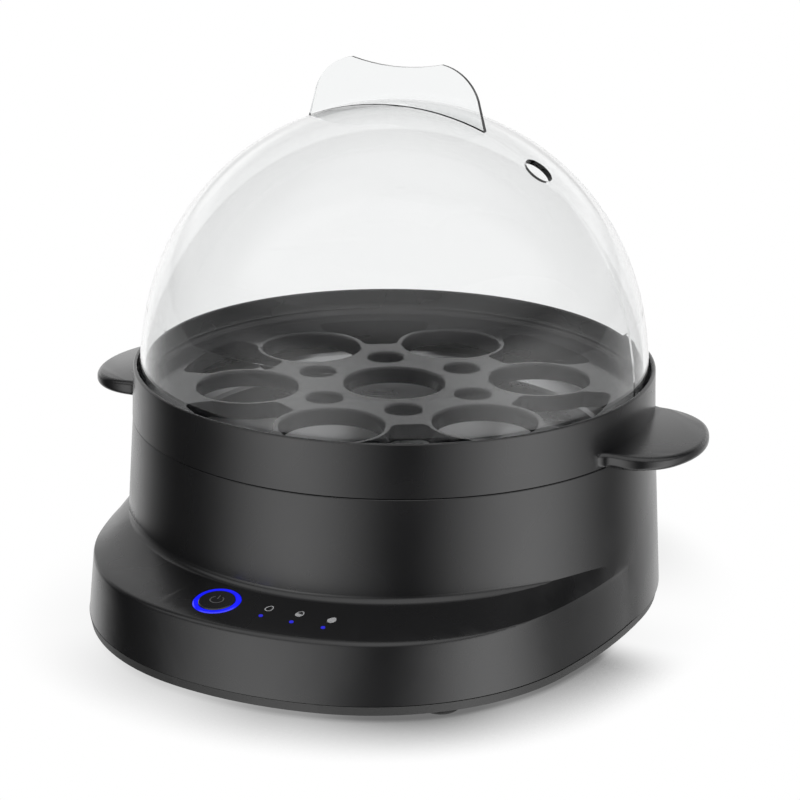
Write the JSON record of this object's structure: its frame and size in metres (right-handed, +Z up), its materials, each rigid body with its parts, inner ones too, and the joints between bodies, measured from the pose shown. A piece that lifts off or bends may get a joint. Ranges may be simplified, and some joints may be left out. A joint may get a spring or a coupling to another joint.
{
  "type": "egg cooker",
  "caption": "Electric egg cooker with a drum base and sloping control nose, a lift-out egg tray with ears, and a clear dome lid with a fin grip and steam vent.",
  "frame": {"origin": "centre of the footprint's bounding box, on the surface the feet stand on", "axes": "+Z up; the control nose faces -Y and the supply lead leaves towards +Y; the ears point to -X and +X"},
  "size_m": [0.2386, 0.228, 0.198],
  "materials": {
    "housing_plastic": "satin black",
    "tray_plastic": "satin black",
    "rack_plastic": "high gloss black",
    "clear_plastic": "clear, polished",
    "cover_plastic": "matte black",
    "foot_rubber": "matte black",
    "silicone": "matte translucent white",
    "pan_metal": "satin",
    "plate_aluminium": "mill finish",
    "sheath_steel": "heat-tinted",
    "terminal_steel": "plated",
    "zinc_steel": "zinc plated",
    "screw_steel": "zinc plated",
    "phenolic": "dark moulding",
    "fuse_metal": "plated",
    "board_laminate": "solder mask green",
    "switch_plastic": "matte black",
    "plunger_plastic": "ivory",
    "button_plastic": "satin black",
    "ring_plastic": "translucent, lit blue",
    "led_plastic": "diffuse white",
    "lens_plastic": "translucent, lit blue",
    "relay_plastic": "blue moulding",
    "capacitor_plastic": "yellow case",
    "terminal_plastic": "green moulding"
  },
  "bodies": {
    "base": {"base_housing": "housing_plastic", "bottom_cover": "cover_plastic", "rubber_feet": "foot_rubber", "cover_screws": "screw_steel", "pan_gasket": "silicone", "heating_pan": "pan_metal", "pan_clamps": "zinc_steel", "pan_screws": "screw_steel", "diffuser_plate": "plate_aluminium", "heating_element": "sheath_steel", "element_terminals": "terminal_steel", "thermostat": "phenolic", "thermostat_bracket": "zinc_steel", "thermal_fuse": "fuse_metal", "fuse_clip": "zinc_steel", "control_board": "board_laminate", "control_screws": "screw_steel", "switch_body": "switch_plastic", "button_light_ring": "ring_plastic", "ring_leds": "led_plastic", "indicator_lenses": "lens_plastic", "indicator_leds": "led_plastic", "buzzer": "switch_plastic", "power_board": "board_laminate", "board_screws": "screw_steel", "relay": "relay_plastic", "filter_capacitor": "capacitor_plastic", "terminal_block": "terminal_plastic", "cord_gland": "foot_rubber"},
    "tray": {"tray_ring": "tray_plastic", "egg_rack": "rack_plastic"},
    "lid": {"lid_dome": "clear_plastic"},
    "button": {"power_button": "button_plastic", "switch_plunger": "plunger_plastic"}
  },
  "joints": [
    {"name": "tray_lift", "type": "slide", "parent": "base", "child": "tray", "axis": [0, 0, 1], "range_m": [0, 0.1]},
    {"name": "lid_lift", "type": "slide", "parent": "tray", "child": "lid", "axis": [0, 0, 1], "range_m": [0, 0.15]},
    {"name": "button_press", "type": "slide", "parent": "base", "child": "button", "axis": [0.0171, 0.1438, -0.9895], "range_m": [0, 0.0005], "stiffness_N_per_m": 1500, "springref_m": -0.0006}
  ]
}
